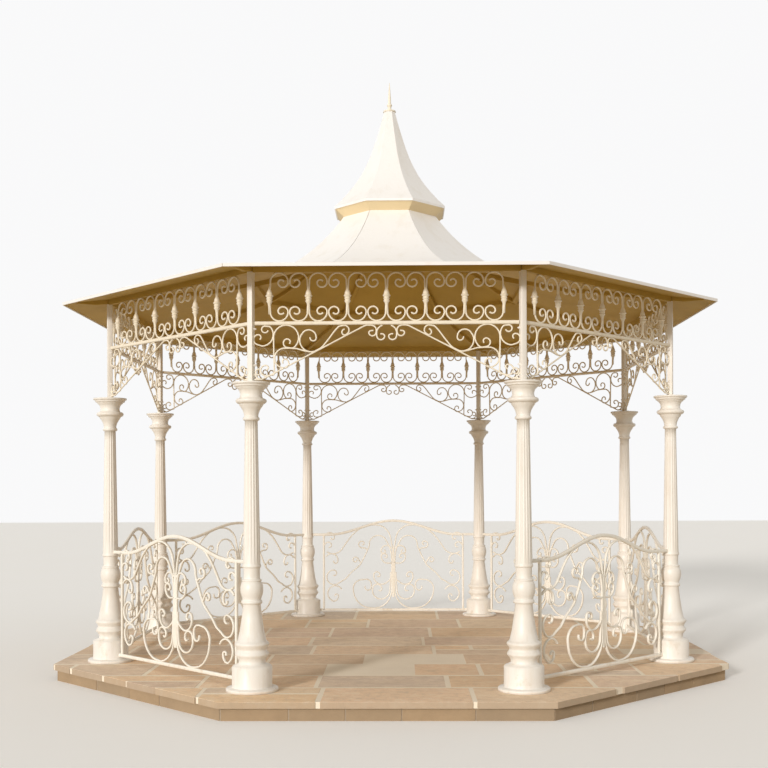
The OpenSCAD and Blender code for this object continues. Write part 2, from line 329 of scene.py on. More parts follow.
def eased(points, spacing=5.0, rounds=6, turn=14, longest=60):
    # millimetres in, metres out: evenly spaced, smoothed between fixed ends,
    # then only the points that the bends need
    path = [Vector(p) for p in points]
    lengths = [0.0]
    for a, b in zip(path, path[1:]):
        lengths.append(lengths[-1] + (b - a).length)
    count = max(3, round(lengths[-1] / spacing))
    even, j = [], 0
    for i in range(count + 1):
        want = lengths[-1] * i / count
        while j < len(lengths) - 2 and lengths[j + 1] < want:
            j += 1
        span = lengths[j + 1] - lengths[j]
        even.append(path[j].lerp(path[j + 1], (want - lengths[j]) / span if span else 0))
    for _ in range(rounds):
        between = [(a + 2 * b + c) / 4 for a, b, c in zip(even, even[1:], even[2:])]
        even = [even[0]] + between + [even[-1]]
    kept, turned, run = [even[0]], 0.0, 0.0
    for a, b, c in zip(even, even[1:], even[2:]):
        turned += math.degrees((b - a).angle(c - b))
        run += (b - a).length
        if turned > turn or run > longest:
            kept.append(b)
            turned = run = 0.0
    return [(p.x / 1000, p.y / 1000) for p in kept + [even[-1]]]


# The drawings of the bars are in millimetres, the settings in metres
frieze = {"pitch": 0.268, "spears": 7, "barWidth": 0.011, "barDepth": 0.012, "barEdge": 0.003,
          "foot": 0.026, "head": 0.002, "rail": 0.024, "railEnd": 0.026, "spearSegments": 14}
bracket = {"barWidth": 0.010, "barDepth": 0.012}
railing = {"barWidth": 0.013, "barDepth": 0.019, "railHeight": 0.026, "frame": 0.020, "end": 0.755,
           "foot": 0.063, "endHeight": 0.880, "rise": 0.150, "humpReach": 0.7, "humpSteps": 40,
           "columnFoot": 0.138, "shaftFoot": 0.060}

scrollPath = ([(5, 112)] + wind((67, 62), 62, 62, 180, 360) + wind((90, 64), 39, 32, 15, 180)
              + wind((84, 68), 26, 19, 190, 325))

bracketPaths = [
    [(21, 2133), (75, 2133), (790, 2504), (825, 2504)] + wind((830, 2466), 36, 32, 75, 0)
    + wind((834, 2455), 27, 27, -20, -175) + [(814, 2465), (840, 2466)],
    wind((97, 2477), 24, 25, -20, -255) + wind((75, 2441), 80, 79, 45, -90)
    + wind((52, 2409), 37, 33, -115, -270) + wind((53, 2422), 20, 17, -285, -420),
    [(160, 2172), (157, 2330)] + wind((242, 2420), 87, 87, 185, -58)
    + wind((254, 2387), 37, 15, -112, -400),
    wind((428, 2418), 23, 23, 170, 350) + wind((402, 2419), 49, 58, 385, 495)
    + wind((414, 2401), 79, 80, 515, 655)
    + [(485, 2350), (515, 2384), (580, 2472), (602, 2496)] + wind((642, 2467), 37, 31, 105, -60)
    + wind((645, 2456), 23, 21, -90, -265),
    [(430, 2319), (385, 2323), (345, 2339), (300, 2347)] + wind((230, 2277), 72, 66, 80, 270)
    + wind((231, 2249), 38, 28, 285, 370) + wind((232, 2252), 25, 15, 400, 580),
    [(158, 2168)] + wind((102, 2198), 42, 34, -70, -270) + wind((104, 2212), 19, 14, -300, -450),
    wind((51, 2181), 28, 15, 50, 320),
    [(75, 2134), (45, 2140), (21, 2171)],
    wind((917, 2447), 57, 55, 105, 185) + wind((893, 2431), 31, 28, 205, 340)
    + [(918, 2436), (904, 2444), (888, 2443)],
]

railingPaths = [
    [(5, 200), (5, 720)] + wind((185, 805), 160, 180, 175, 95) + wind((114, 559), 459, 459, 68, 32)
    + wind((655, 792), 121, 121, 218, 305),
    [(17, 430), (17, 650), (32, 730)] + wind((165, 772), 99, 97, 160, -10)
    + [(290, 690), (325, 615), (362, 548), (415, 503), (470, 458), (518, 398)]
    + wind((645, 418), 84, 78, 220, 445) + wind((647, 457), 37, 22, 100, 290),
    [(16, 420)] + wind((224, 268), 210, 190, 170, 270) + wind((226, 268), 192, 208, 290, 350)
    + wind((334, 288), 106, 104, 5, 85) + wind((296, 335), 60, 58, 95, 190)
    + wind((279, 311), 40, 30, 210, 380),
    [(29, 470), (30, 360)] + wind((138, 272), 100, 90, 170, 365) + wind((172, 288), 56, 46, 20, 190)
    + wind((148, 284), 22, 14, 210, 330),
    [(10, 440), (40, 382)] + wind((128, 424), 86, 86, 235, 370) + wind((178, 438), 38, 34, 30, 180)
    + wind((164, 436), 20, 12, 200, 330),
    [(8, 572)] + wind((60, 640), 74, 72, 255, 350) + wind((98, 640), 36, 32, 10, 180)
    + wind((84, 640), 18, 12, 200, 330),
    wind((76, 700), 62, 58, 155, -20) + wind((104, 700), 27, 13, -60, -260),
    [(278, 712), (310, 735)] + wind((340, 775), 42, 34, 250, 430)
    + wind((335, 782), 26, 14, 100, 270),
    [(352, 570), (380, 610)] + wind((412, 605), 32, 26, 150, -60)
    + wind((410, 598), 18, 12, 270, 130),
    wind((700, 760), 48, 16, 10, 280),
    wind((690, 850), 54, 50, 20, 180) + wind((665, 845), 25, 14, 190, 360),
    wind((665, 600), 80, 62, 30, 180) + wind((633, 590), 30, 16, 190, 380),
    wind((630, 243), 80, 87, 150, -55) + wind((650, 208), 53, 52, -75, -175)
    + wind((622, 214), 26, 14, -200, -380),
]


def flatPaths(name, paths, lift=0.0003):
    curve = bpy.data.curves.new(name, "CURVE")
    curve.dimensions = "3D"
    for i, path in enumerate(paths):
        spline = curve.splines.new("POLY")
        spline.points.add(len(path) - 1)
        level = (i % 4 - 1.5) * lift  # so that bars that touch don't share a face
        for point, (x, y) in zip(spline.points, path):
            point.co = (x, y, level, 1)
    holder = bpy.data.objects.new(name, curve)
    bpy.context.scene.collection.objects.link(holder)
    return holder


class Garden(Bench):
    # a Geometry Nodes tree whose inputs are set on the modifier by identifier
    def __init__(self, name, inputs):
        tree = bpy.data.node_groups.new(name, "GeometryNodeTree")
        super().__init__(tree)
        tree.interface.new_socket("Geometry", in_out="INPUT", socket_type="NodeSocketGeometry")
        self.ids = {}
        for label, (kind, value) in inputs.items():
            socket = tree.interface.new_socket(label, in_out="INPUT", socket_type=kind)
            if value is not None:
                socket.default_value = value
            self.ids[label] = socket.identifier
        tree.interface.new_socket("Geometry", in_out="OUTPUT", socket_type="NodeSocketGeometry")
        self.source = tree.nodes.new("NodeGroupInput")

    def input(self, label):
        return Wire(self, self.source.outputs[label])

    def done(self, geometry, material):
        geometry = self.make("GeometryNodeRealizeInstances", {}, {0: geometry})
        geometry = self.make("GeometryNodeSetMaterial", {},
                             {"Geometry": geometry, "Material": material})
        self.tree.links.new(geometry.socket, self.tree.nodes.new("NodeGroupOutput").inputs[0])
        return self.tree


def grow(holder, garden, values, name, slot, *nodes):
    modifier = holder.modifiers.new("grow", "NODES")
    modifier.node_group = garden.tree
    for label, value in values.items():
        modifier[garden.ids[label]] = value
    bpy.context.view_layer.update()
    evaluated = holder.evaluated_get(bpy.context.evaluated_depsgraph_get())
    mesh = bpy.data.meshes.new_from_object(evaluated)
    holder.modifiers.remove(modifier)
    bpy.data.objects.remove(holder)
    mesh.name = name
    piece = bpy.data.objects.new(name, mesh)
    bpy.context.scene.collection.objects.link(piece)
    print(name, len(mesh.polygons), "faces")
    return place(piece, slot, *nodes)


def roundTheBays(g, geometry):
    # stands a flat drawing up in the front bay, and repeats it round the ring
    stood = g.make("GeometryNodeTransform", {},
                   {"Geometry": geometry, "Translation": (0, -bayReach, plan["deckHeight"]),
                    "Rotation": (math.pi / 2, 0, 0)})
    points = g.make("GeometryNodePoints", {}, {"Count": g.input("Bays")})
    turn = (g.make("GeometryNodeInputIndex") + g.input("First Bay")) * (2 * halfBay)
    rotation = g.make("ShaderNodeCombineXYZ", {}, {"Z": turn})
    return g.make("GeometryNodeInstanceOnPoints", {},
                  {"Points": points, "Instance": stood, "Rotation": rotation})


def barGarden():
    g = Garden("barsRoundTheBays", {
        "Bar Width": ("NodeSocketFloat", frieze["barWidth"]),
        "Bar Depth": ("NodeSocketFloat", frieze["barDepth"]),
        "Edge": ("NodeSocketFloat", frieze["barEdge"]), "Bays": ("NodeSocketInt", plan["bays"]),
        "First Bay": ("NodeSocketInt", 0), "Paint": ("NodeSocketMaterial", None)})
    path = g.make("GeometryNodeSetCurveNormal", {"mode": "Z_UP"}, {"Curve": g.input("Geometry")})
    section = g.make("GeometryNodeCurvePrimitiveQuadrilateral", {},
                     {"Width": g.input("Bar Width"), "Height": g.input("Bar Depth")})
    section = g.make("GeometryNodeFilletCurve", {"mode": "POLY"},
                     {"Curve": section, "Radius": g.input("Edge"), "Count": 1})
    bars = g.make("GeometryNodeCurveToMesh", {},
                  {"Curve": path, "Profile Curve": section, "Fill Caps": True})
    g.done(roundTheBays(g, bars), g.input("Paint"))
    return g


bars = barGarden()


def bothSides(paths, middle=0.0):
    # x runs from the bay's middle, or from the left post where middle is half the bay
    paths = [eased(path) for path in paths]
    return ([[(x - middle, y) for x, y in path] for path in paths]
            + [[(middle - x, y) for x, y in path] for path in paths])


def friezePaths():
    single = eased(scrollPath)
    bottom, top = plan["railHeight"] + frieze["foot"], plan["beamHeight"] - frieze["head"]
    rows = []
    for i in range(frieze["spears"] - 1):
        left = (i - (frieze["spears"] - 1) / 2) * frieze["pitch"]
        right = left + frieze["pitch"]
        rows += [[(left + x, bottom + y) for x, y in single],
                 [(right - x, bottom + y) for x, y in single],
                 [(left + x, top - y) for x, y in single],
                 [(right - x, top - y) for x, y in single]]
    return rows


paint = {"Paint": finishes["wrought"]}
railed = {"Paint": finishes["railing"], "Bays": plan["bays"] - 1, "First Bay": 1}  # open in front
grow(flatPaths("friezeDrawing", friezePaths()), bars,
     {"Bar Width": frieze["barWidth"], "Bar Depth": frieze["barDepth"], **paint},
     "friezeScrolls", "cream_iron", *numbered("frieze"))
grow(flatPaths("bracketDrawing", bothSides(bracketPaths, bayHalf)), bars,
     {"Bar Width": bracket["barWidth"], "Bar Depth": bracket["barDepth"], **paint},
     "bracketScrolls", "cream_iron", *numbered("brackets"))
grow(flatPaths("railingDrawing", bothSides(railingPaths)), bars,
     {"Bar Width": railing["barWidth"], "Bar Depth": railing["barDepth"], **railed},
     "railingScrolls", "cream_iron", *numbered("railing", 2))
print("scrollwork bent")


def hump(x):
    # height of the railing's top rail at x
    share = min(1, abs(x) / railing["humpReach"])
    return railing["endHeight"] + railing["rise"] * (0.5 + 0.5 * math.cos(math.pi * share))


def railingFrame():
    reach, foot = bayHalf - railing["shaftFoot"], bayHalf - railing["columnFoot"]
    steps, end = railing["humpSteps"], railing["end"]
    top = [(reach * (i / steps - 1), hump(reach * (i / steps - 1))) for i in range(2 * steps + 1)]
    bottom = [(-foot, railing["foot"]), (foot, railing["foot"])]
    ends = [[(side * end, railing["foot"]), (side * end, hump(end))] for side in (-1, 1)]
    return [top, bottom], ends


longBars, endBars = railingFrame()
grow(flatPaths("railingRails", longBars), bars,
     {"Bar Width": railing["railHeight"], "Bar Depth": railing["frame"], **railed},
     "railingRails", "cream_iron")
grow(flatPaths("railingEnds", endBars), bars,
     {"Bar Width": railing["frame"], "Bar Depth": railing["frame"], **railed},
     "railingEndBars", "cream_iron")
railReach, railMiddle = bayHalf - frieze["railEnd"], plan["railHeight"] + frieze["rail"] / 2
grow(flatPaths("friezeRails", [[(-railReach, railMiddle), (railReach, railMiddle)]]), bars,
     {"Bar Width": frieze["rail"], "Bar Depth": frieze["rail"], **paint},
     "friezeRails", "cream_iron")


def lathe(profile, segments, z=0.0, shape=None):
    # profile is [(radius, height)] from the foot up; shape changes the radius round the turn
    verts = []
    for radius, height in profile:
        for s in range(segments):
            angle = 2 * math.pi * s / segments
            r = shape(radius, height, angle) if shape else radius
            verts.append((r * math.cos(angle), r * math.sin(angle), height + z))
    return verts, sleeve(len(profile), segments)


def rounded(profile, radius=0.003, steps=2, sharp=38, most=0.45):
    # cuts each corner that turns by sharp degrees or more into a short curve
    out = [profile[0]]
    for a, b, c in zip(profile, profile[1:], profile[2:]):
        a, b, c = Vector(a), Vector(b), Vector(c)
        if math.degrees((b - a).angle(c - b)) < sharp:
            out.append(tuple(b))
            continue
        before = b.lerp(a, min(most, radius / (a - b).length))
        after = b.lerp(c, min(most, radius / (c - b).length))
        for i in range(steps + 1):
            t = i / steps
            out.append(tuple(before * (1 - t) ** 2 + 2 * t * (1 - t) * b + after * t ** 2))
    return out + [profile[-1]]


# Profiles are [(radius, height)], a spear's above its rail, a column's above the deck
spearProfile = [(0.0075, 0.050), (0.009, 0.104), (0.013, 0.124), (0.021, 0.136), (0.022, 0.140),
                (0.017, 0.147), (0.018, 0.149), (0.0235, 0.155), (0.018, 0.162), (0.019, 0.165),
                (0.0275, 0.174), (0.0275, 0.177), (0.020, 0.184), (0.0195, 0.196), (0.015, 0.209),
                (0.007, 0.228), (0.001, 0.246)]


def spearGarden():
    g = Garden("spearsRoundTheBays", {
        "Spears": ("NodeSocketInt", frieze["spears"]),
        "Pitch": ("NodeSocketFloat", frieze["pitch"]),
        "Foot": ("NodeSocketFloat", plan["railHeight"] + frieze["rail"]),
        "Bays": ("NodeSocketInt", plan["bays"]), "First Bay": ("NodeSocketInt", 0),
        "Paint": ("NodeSocketMaterial", None)})
    count = g.input("Spears")
    row = g.make("GeometryNodeMeshLine", {"mode": "OFFSET"}, {"Count": count, "Offset": (1, 0, 0)})
    middle = (count - 1) / 2
    along = (g.make("GeometryNodeInputIndex") - middle) * g.input("Pitch")
    spot = g.make("ShaderNodeCombineXYZ", {}, {"X": along, "Y": g.input("Foot")})
    row = g.make("GeometryNodeSetPosition", {}, {"Geometry": row, "Position": spot})
    upright = (-math.pi / 2, 0, 0)
    spears = g.make("GeometryNodeInstanceOnPoints", {},
                    {"Points": row, "Instance": g.input("Geometry"), "Rotation": upright})
    g.done(roundTheBays(g, spears), g.input("Paint"))
    return g


verts, faces = lathe(rounded(spearProfile), frieze["spearSegments"])
spear = meshPiece("spear", verts, faces, [finishes["wrought"]], smooth=True)
grow(spear, spearGarden(), paint, "friezeSpears", "cream_iron")
print("spears set")


column = {"segments": 96, "sharp": 45, "shaftFoot": 0.865, "shaftHead": 1.852, "shaftIn": 0.004,
          "shaftShort": 0.006, "shaftRadius": 0.060, "taper": 0.016, "shaftRows": 14, "flutes": 16,
          "fluteFoot": 0.006, "fluteHead": 0.008, "fluteDepth": 0.0042, "fluteCurve": 0.7,
          "fluteFade": 0.03}
footProfile = [(0.180, 0.0), (0.180, 0.018), (0.174, 0.024), (0.140, 0.027), (0.138, 0.034),
               (0.138, 0.165), (0.128, 0.176), (0.096, 0.187), (0.092, 0.194), (0.092, 0.214),
               (0.106, 0.236), (0.114, 0.243), (0.117, 0.252), (0.114, 0.260), (0.106, 0.270),
               (0.099, 0.284), (0.106, 0.300), (0.116, 0.313), (0.119, 0.322), (0.115, 0.331),
               (0.106, 0.338), (0.099, 0.343), (0.084, 0.410), (0.070, 0.500), (0.060, 0.590),
               (0.062, 0.594), (0.070, 0.598), (0.073, 0.607), (0.071, 0.617), (0.064, 0.622),
               (0.064, 0.632), (0.071, 0.650), (0.077, 0.672), (0.079, 0.698), (0.076, 0.724),
               (0.068, 0.743), (0.063, 0.748), (0.068, 0.752), (0.068, 0.762), (0.058, 0.766),
               (0.056, 0.776), (0.057, 0.842), (0.064, 0.847), (0.064, 0.861), (0.060, 0.868)]
headProfile = [(0.046, 1.850), (0.055, 1.855), (0.058, 1.864), (0.055, 1.872), (0.048, 1.877),
               (0.050, 1.896), (0.057, 1.918), (0.068, 1.938), (0.080, 1.954), (0.084, 1.965),
               (0.096, 1.970), (0.104, 1.977), (0.107, 1.986), (0.104, 1.995), (0.096, 2.001),
               (0.082, 2.005), (0.076, 2.018), (0.075, 2.032), (0.080, 2.052), (0.089, 2.065),
               (0.101, 2.074), (0.103, 2.080), (0.113, 2.083), (0.117, 2.089), (0.117, 2.096),
               (0.128, 2.100), (0.131, 2.105), (0.131, 2.114)]


def fluted(radius, height, angle):
    # the flutes fade out at both ends of the shaft
    inside = min(height - column["shaftFoot"] - column["fluteFoot"],
                 column["shaftHead"] - column["fluteHead"] - height)
    if inside < 0:
        return radius
    wave = (0.5 - 0.5 * math.cos(angle * column["flutes"])) ** column["fluteCurve"]
    return radius - column["fluteDepth"] * wave * min(1, inside / column["fluteFade"])


def columnMesh(least=1e-5):
    rows, low = column["shaftRows"], column["shaftFoot"]
    span = column["shaftHead"] - low - column["shaftShort"]
    shaft = [(column["shaftRadius"] - column["taper"] * i / rows,
              low + column["shaftIn"] + span * i / rows) for i in range(rows + 1)]
    points = (rounded(footProfile, sharp=column["sharp"]) + shaft
              + rounded(headProfile, sharp=column["sharp"]))
    profile = points[:1] + [b for a, b in zip(points, points[1:]) if math.dist(a, b) > least]
    return lathe(profile, column["segments"], plan["deckHeight"], fluted)


def ringGarden():
    # moves a piece out along +X and repeats it at the corners
    g = Garden("roundTheRing", {
        "Ring": ("NodeSocketFloat", plan["columnRing"]), "Count": ("NodeSocketInt", plan["bays"]),
        "First Turn": ("NodeSocketFloat", cornerTurns[0]), "Paint": ("NodeSocketMaterial", None)})
    points = g.make("GeometryNodePoints", {}, {"Count": g.input("Count")})
    index = g.make("GeometryNodeInputIndex")
    turn = index * (2 * math.pi) / g.input("Count") + g.input("First Turn")
    out = g.make("ShaderNodeCombineXYZ", {}, {"X": g.input("Ring")})
    moved = g.make("GeometryNodeTransform", {},
                   {"Geometry": g.input("Geometry"), "Translation": out})
    rotation = g.make("ShaderNodeCombineXYZ", {}, {"Z": turn})
    copies = g.make("GeometryNodeInstanceOnPoints", {},
                    {"Points": points, "Instance": moved, "Rotation": rotation})
    g.done(copies, g.input("Paint"))
    return g


ring = ringGarden()
verts, faces = columnMesh()
holder = meshPiece("column", verts, faces, [finishes["cast"]], smooth=True)
grow(holder, ring, {"Paint": finishes["cast"]}, "castColumns", "cream_iron", *numbered("column"))


# Posts on the columns, with the bolts that hold the brackets
post = {"width": 0.040, "edge": 0.004, "plate": 0.066, "plateEdge": 0.006, "plateHeight": 0.008,
        "plateBolts": 0.40, "boltHeights": (2.480, 2.231), "boltAcross": 0.013, "boltHead": 0.007,
        "boltSink": 0.004, "washer": 0.010, "stub": 0.006, "smooth": 35}


class Solid:
    # several closed pieces gathered into one mesh
    def __init__(self):
        self.verts, self.faces = [], []

    def add(self, verts, faces, matrix=Matrix()):
        start = len(self.verts)
        self.verts += [matrix @ Vector(v) for v in verts]
        self.faces += [tuple(start + i for i in face) for face in faces]

    def prism(self, section, rows, matrix=Matrix()):
        # rows are [(size factor, height)], and the section turns anticlockwise
        verts = [(x * size, y * size, z) for size, z in rows for x, y in section]
        self.add(verts, sleeve(len(rows), len(section)), matrix)

    def turned(self, profile, segments, matrix=Matrix()):
        turns = [2 * math.pi * i / segments for i in range(segments)]
        self.prism([(math.cos(turn), math.sin(turn)) for turn in turns], profile, matrix)


def roundedSquare(width, edge, steps=3):
    half, points = width / 2 - edge, []
    for quarter, (sx, sy) in enumerate([(1, 1), (-1, 1), (-1, -1), (1, -1)]):
        for i in range(steps + 1):
            angle = math.pi / 2 * (quarter + i / steps)
            points.append((sx * half + edge * math.cos(angle), sy * half + edge * math.sin(angle)))
    return points


def postMesh():
    foot, head = plan["deckHeight"] + plan["capitalTop"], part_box("corner_posts")[1][2]
    solid = Solid()
    solid.prism(roundedSquare(post["width"], post["edge"]),
                [(0.98, foot), (1, foot + 0.001), (1, head - 0.001), (0.98, head)])
    top = foot + post["plateHeight"]
    solid.prism(roundedSquare(post["plate"], post["plateEdge"]),
                [(1, foot), (1, top - 0.002), (0.96, top)])
    reach = post["plate"] * post["plateBolts"]
    for x in (-1, 1):
        for y in (-1, 1):
            spot = Matrix.Translation((x * reach, y * reach, top))
            solid.turned([(0.0050, 0), (0.0050, 0.001), (0.0038, 0.003), (0.0015, 0.004)], 10, spot)
    washer, stub = post["washer"], post["stub"]
    corner = post["boltAcross"] / 2 / math.cos(math.pi / 6)
    face = post["width"] / 2 / math.cos(halfBay) - post["boltSink"]
    for height in post["boltHeights"]:
        for side in (-1, 1):
            turn = Matrix.Rotation(math.pi + side * (math.pi / 2 - halfBay), 4, "Z")
            out = (Matrix.Translation((0, 0, plan["deckHeight"] + height)) @ turn
                   @ Matrix.Translation((face, 0, 0)) @ Matrix.Rotation(math.pi / 2, 4, "Y"))
            solid.turned([(washer, 0), (washer, 0.0065), (washer * 0.9, 0.0075)], 20, out)
            solid.turned([(corner, 0.0072), (corner, 0.0125),
                          (corner * 0.86, 0.0072 + post["boltHead"])], 6, out)
            solid.turned([(0.004, 0.012), (0.004, 0.0135 + stub), (0.003, 0.0145 + stub)], 12, out)
    return solid.verts, solid.faces


verts, faces = postMesh()
holder = meshPiece("post", verts, faces, [finishes["cast"]])
grow(smoothBy(holder, post["smooth"]), ring, {"Paint": finishes["cast"]},
     "roofPosts", "cream_iron", "corner_posts")
print("columns and posts stood")


# Roof lines are [(distance from the centre at the hips, height above the deck)]
roof = {"sheet": 0.010, "seam": 0.004, "columns": 10}
lowerLine = [(2.797, 2.865), (2.400, 2.925), (2.000, 2.985), (1.600, 3.048), (1.250, 3.135)]
bellArc = {"centre": (1.847, 4.776), "radius": 1.746, "from": 250, "to": 216, "steps": 24}


def bellPoint(t):
    angle = math.radians(bellArc["from"] + t * (bellArc["to"] - bellArc["from"]) / bellArc["steps"])
    return (bellArc["centre"][0] + bellArc["radius"] * math.cos(angle),
            bellArc["centre"][1] + bellArc["radius"] * math.sin(angle))


bellLine = [bellPoint(t) for t in range(bellArc["steps"] + 1)]


def facetPanels(name, line, top, under):
    # one sheet for each bay, between the hips, with a gap at each
    columns = roof["columns"]
    verts, faces, indices = [], [], []
    for k in range(plan["bays"]):
        middle = -math.pi / 2 + 2 * halfBay * k
        across = Vector((-math.sin(middle), math.cos(middle), 0))
        out = Vector((math.cos(middle), math.sin(middle), 0))
        start = len(verts)
        for layer in (0, 1):
            for radius, height in line:
                reach = radius * math.cos(halfBay)
                half = radius * math.sin(halfBay) - roof["seam"] / 2 / math.cos(halfBay)
                for c in range(columns + 1):
                    z = height + plan["deckHeight"] - layer * roof["sheet"]
                    side = across * (half * (c / columns * 2 - 1))
                    verts.append(out * reach + side + Vector((0, 0, z)))
        rows, wide, layerSize = len(line), columns + 1, len(line) * (columns + 1)
        for layer in (0, 1):
            for r in range(rows - 1):
                for c in range(columns):
                    a = start + layer * layerSize + r * wide + c
                    quad = (a, a + 1, a + wide + 1, a + wide)
                    faces.append(quad if layer == 0 else quad[::-1])
                    indices.append(layer)
        edge = ([(0, c) for c in range(wide)] + [(r, wide - 1) for r in range(1, rows)]
                + [(rows - 1, c) for c in range(wide - 2, -1, -1)]
                + [(r, 0) for r in range(rows - 2, 0, -1)])
        for (r0, c0), (r1, c1) in zip(edge, edge[1:] + edge[:1]):
            a, b = start + r0 * wide + c0, start + r1 * wide + c1
            faces.append((b, a, a + layerSize, b + layerSize))
            indices.append(0)
    return meshPiece(name, verts, faces, [top, under], indices)


# the sheets' undersides carry the soffit's painted shade
lower = facetPanels("lowerRoofSheets", lowerLine, finishes["roof"], finishes["soffit"])
place(smoothBy(lower), "cream_sheet", "lower_roof")
bell = facetPanels("bellRoofSheets", bellLine, finishes["roof"], finishes["soffit"])
place(smoothBy(bell), "cream_sheet", "bell_roof")

rib = {"half": 0.015, "depth": 0.034, "edge": 0.004, "start": 2.700, "taper": 0.16, "tip": 0.25}


def ribMesh():
    # one rib along +X, which stops short of the eave and thins out there
    slope = (lowerLine[1][1] - lowerLine[0][1]) / (lowerLine[0][0] - lowerLine[1][0])
    line = [(rib["start"] - back, lowerLine[0][1] + (lowerLine[0][0] - rib["start"] + back) * slope)
            for back in (0, rib["taper"] / 2, rib["taper"])] + lowerLine[1:] + bellLine[1:]
    verts = []
    for reach, height in line:
        grown = (rib["start"] - reach) / rib["taper"]
        depth = rib["depth"] * min(1, rib["tip"] + (1 - rib["tip"]) * grown)
        half, edge = rib["half"], min(rib["edge"], depth / 3)
        x, top = reach - half * math.tan(halfBay), height + plan["deckHeight"] - roof["sheet"]
        verts += [(x, -half, top), (x, -half, top - depth + edge), (x, -half + edge, top - depth),
                  (x, half - edge, top - depth), (x, half, top - depth + edge), (x, half, top)]
    return verts, sleeve(len(line), len(verts) // len(line))


verts, faces = ribMesh()
# the ribs under the roof carry the soffit's painted shade
holder = smoothBy(meshPiece("rib", verts, faces, [finishes["soffit"]]))
grow(holder, ring, {"Ring": 0.0, "Paint": finishes["soffit"]}, "hipRibs", "cream_sheet", "hip_ribs")

cupola = {"radius": 0.518, "lipFoot": 3.812, "lipHead": 3.832, "lipInside": 0.010, "lipRise": 0.002,
          "lipFlat": 0.006}
spireLine = eased([(518, 3832), (448, 3898), (380, 3976), (322, 4048), (272, 4122), (228, 4200),
                   (188, 4286), (152, 4380), (120, 4476), (88, 4580), (50, 4713)],
                  spacing=30, rounds=3, turn=3)


def cupolaMesh():
    reach, foot = cupola["radius"], cupola["lipFoot"]
    outline = [bellLine[-1], (reach - cupola["lipInside"], foot + cupola["lipRise"]),
               (reach - cupola["lipFlat"], foot), (reach, foot), (reach, cupola["lipHead"])]
    outline += spireLine[1:]
    verts = []
    for radius, height in outline:
        verts += [polar(radius, turn, height + plan["deckHeight"]) for turn in cornerTurns]
    n = plan["bays"]
    faces = sleeve(len(outline), n)
    indices = [1] * n + [0] * (len(faces) - n - 2) + [1, 0]  # the lip's underside with its painted shade, then the roof
    return meshPiece("cupolaSpire", verts, faces, [finishes["roof"], finishes["lip"]], indices)


place(smoothBy(cupolaMesh()), "cream_sheet", "cupola")

finial = {"segments": 40, "smooth": 40}
finialProfile = [(0.056, 0.0), (0.056, 0.010), (0.030, 0.014), (0.019, 0.024), (0.015, 0.040),
                 (0.017, 0.050), (0.022, 0.056), (0.023, 0.061), (0.021, 0.067), (0.015, 0.074),
                 (0.0135, 0.084), (0.012, 0.130), (0.007, 0.200), (0.002, 0.262)]
verts, faces = lathe(rounded(finialProfile), finial["segments"],
                     plan["deckHeight"] + spireLine[-1][1])
spike = meshPiece("finialSpike", verts, faces, [finishes["wrought"]], smooth=True)
place(smoothBy(spike, finial["smooth"]), "cream_iron", "finial")
print("roof laid")


# The flags lie in bands across the deck, some of them cut in two or three.
# A flag whose drop is over coreDrop lies just under the mortar and shows as mortar
deck = {"ring": 2.890, "flag": 0.045, "joint": 0.026, "rim": 0.38, "chamfer": 0.003, "seed": 21,
        "band": (0.50, 0.72), "bandLeast": 0.25, "sliver": 0.02, "first": (-0.5, -0.1),
        "wide": (0.50, 1.05), "cutShare": 0.26, "cut": (0.36, 0.64), "splitShare": 0.5,
        "split": (0.4, 0.6), "drop": (0, 0.0016), "smallest": 0.010, "coreInside": 0.014,
        "coreDrop": 0.0015}


def clip(polygon, reach):
    # keeps what lies within reach of the centre on every one of the eight sides
    for k in range(plan["bays"]):
        normal = Vector((math.cos(2 * halfBay * k), math.sin(2 * halfBay * k)))
        kept = []
        for a, b in zip(polygon, polygon[1:] + polygon[:1]):
            da, db = reach - a.dot(normal), reach - b.dot(normal)
            if da >= 0:
                kept.append(a)
            if da * db < 0:
                kept.append(a.lerp(b, da / (da - db)))
        polygon = kept
        if len(polygon) < 3:
            return []
    return polygon


def inset(polygon, gap, sharpest=0.2):
    # moves every side in by the gap
    out = []
    for a, b, c in zip(polygon[-1:] + polygon[:-1], polygon, polygon[1:] + polygon[:1]):
        along, onward = (b - a).normalized(), (c - b).normalized()
        inward = Vector((-along.y, along.x))
        mitre = inward + Vector((-onward.y, onward.x))
        out.append(b + mitre * (gap / max(sharpest, mitre.dot(inward))))
    return out


def area(polygon):
    return sum(a.x * b.y - b.x * a.y for a, b in zip(polygon, polygon[1:] + polygon[:1])) / 2


def withoutNicks(polygon, shortest=0.012):
    return [b for a, b in zip([polygon[-1]] + polygon[:-1], polygon) if (b - a).length > shortest]


def flagPolygons():
    dice = random.Random(deck["seed"])
    reach = deck["ring"] * math.cos(halfBay) + deck["joint"] * deck["rim"]
    y, polygons = -reach, []
    while y < reach - deck["sliver"]:
        deep = min(dice.uniform(*deck["band"]), reach - y)
        if reach - (y + deep) < deck["bandLeast"]:
            deep = reach - y
        x = -reach + dice.uniform(*deck["first"])
        while x < reach:
            wide = dice.uniform(*deck["wide"])
            if dice.random() < deck["cutShare"]:
                cut = deep * dice.uniform(*deck["cut"])
                parts = [(x, y, wide, cut)]
                if dice.random() < deck["splitShare"]:
                    half = wide * dice.uniform(*deck["split"])
                    parts += [(x, y + cut, half, deep - cut),
                              (x + half, y + cut, wide - half, deep - cut)]
                else:
                    parts += [(x, y + cut, wide, deep - cut)]
            else:
                parts = [(x, y, wide, deep)]
            for px, py, w, d in parts:
                corners = [Vector((px, py)), Vector((px + w, py)), Vector((px + w, py + d)),
                           Vector((px, py + d))]
                polygons.append((clip(corners, reach), dice.random(), dice.random(),
                                 dice.uniform(*deck["drop"])))
            x += wide
        y += deep
    return [(withoutNicks(p), *values) for p, *values in polygons if len(p) > 2]


